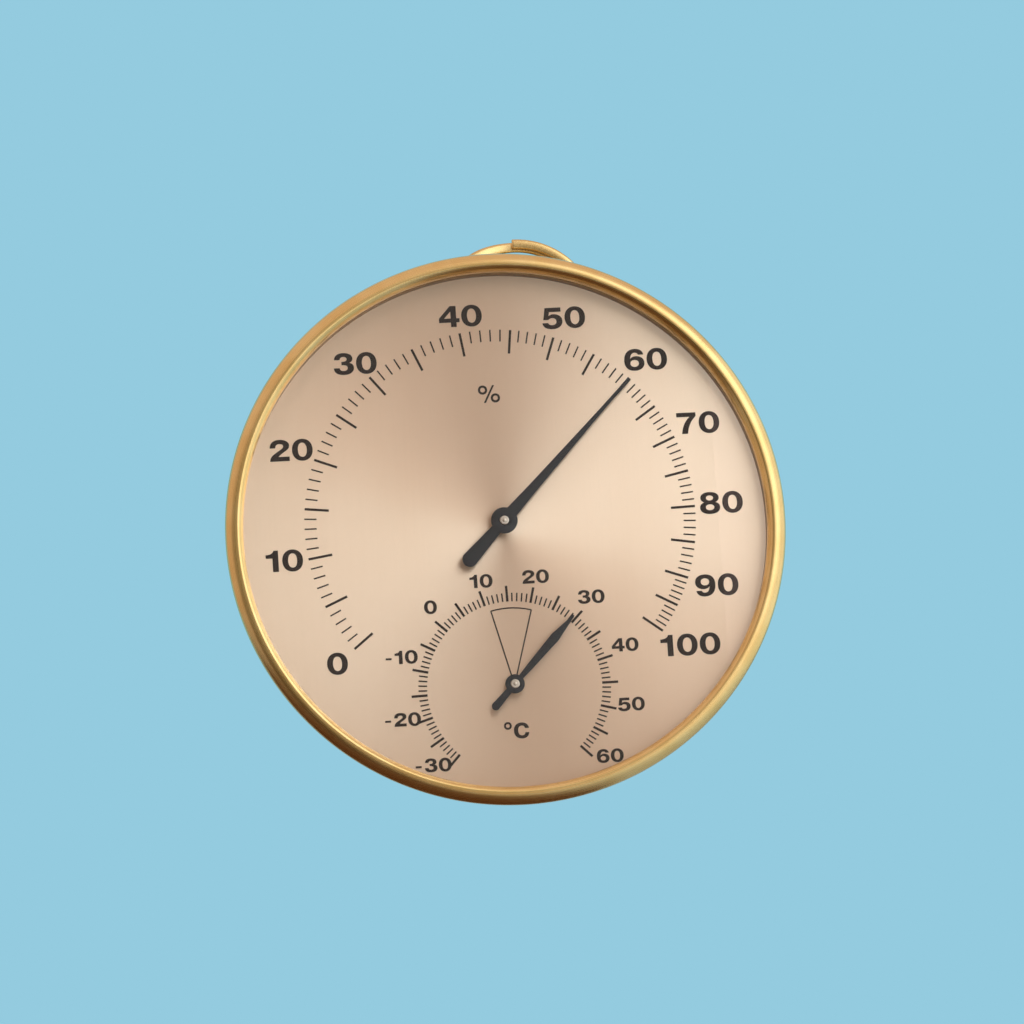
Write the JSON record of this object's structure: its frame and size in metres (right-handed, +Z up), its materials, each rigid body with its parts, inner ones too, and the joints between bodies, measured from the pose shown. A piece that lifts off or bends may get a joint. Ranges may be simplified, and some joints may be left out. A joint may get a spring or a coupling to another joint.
{
  "type": "dial thermo-hygrometer",
  "caption": "Round dial instrument with a humidity pointer, a small temperature pointer, a flat glass, and a split ring behind the top for hanging.",
  "frame": {"origin": "on the flat wall face of the back, behind the centre of the round case", "axes": "+Z up the dial towards twelve o'clock, +X to the reader's right, +Y out of the back into the wall, so the dial faces -Y"},
  "size_m": [0.13, 0.019, 0.1365],
  "materials": {
    "gold_metal": "polished gold-coloured, with fine drawn lines",
    "ring_metal": "gold-plated wire",
    "glass": "clear flat glass",
    "gasket": "matte",
    "spacer_metal": "gold-brown anodised",
    "dial_metal": "satin, warm champagne",
    "dial_ink": "printed ink",
    "pan_metal": "gold-lacquered, pressed",
    "brass": "turned",
    "steel": "turned",
    "humidity_strip": "coated strip",
    "bimetal": "rolled",
    "pointer_paint": "satin black-grey paint"
  },
  "bodies": {
    "case": {"bezel_ring": "gold_metal", "glass": "glass", "glass_gasket": "gasket", "spacer_ring": "spacer_metal", "dial_plate": "dial_metal", "dial_scale": "dial_ink", "back_pan": "pan_metal", "hanger_strap": "gold_metal", "hanger_rivets": "gold_metal", "hygro_bush": "brass", "hygro_bush_nut": "brass", "hygro_washer": "steel", "hygro_bridge": "brass", "hygro_bridge_posts": "brass", "hygro_bridge_screws": "steel", "thermo_bush": "brass", "thermo_bush_nut": "brass", "thermo_coil": "bimetal", "thermo_bridge": "brass", "thermo_bridge_posts": "brass", "thermo_bridge_screws": "steel", "thermo_coil_stud": "brass"},
    "regulator": {"regulator_lever": "brass", "hygro_coil": "humidity_strip"},
    "humidity_needle": {"hygro_pointer": "pointer_paint", "hygro_pointer_hub": "brass", "hygro_arbor": "steel", "hygro_coil_collet": "brass"},
    "temperature_needle": {"thermo_pointer": "pointer_paint", "thermo_pointer_hub": "brass", "thermo_arbor": "steel", "thermo_coil_collet": "brass"},
    "ring": {"hanging_ring": "ring_metal"}
  },
  "joints": [
    {"name": "humidity_calibration", "type": "hinge", "parent": "case", "child": "regulator", "pos_m": [0, -0.0097, 0.0024], "axis": [0, 1, 0], "range_deg": [-12, 12]},
    {"name": "humidity_reading", "type": "hinge", "parent": "regulator", "child": "humidity_needle", "pos_m": [0, -0.0097, 0.0024], "axis": [0, 1, 0], "range_deg": [-172.7, 83.4], "stiffness_Nm_per_rad": 0.0003, "deforming": ["hygro_coil"]},
    {"name": "temperature_reading", "type": "hinge", "parent": "case", "child": "temperature_needle", "pos_m": [0, -0.0097, -0.0361], "axis": [0, 1, 0], "range_deg": [-181.2, 91.5], "stiffness_Nm_per_rad": 0.0003, "deforming": ["thermo_coil"]},
    {"name": "ring_swing", "type": "hinge", "parent": "case", "child": "ring", "pos_m": [0, -0.0027, 0.0366], "axis": [-0.9135, 0, 0.4067], "range_deg": [0, 155]}
  ]
}
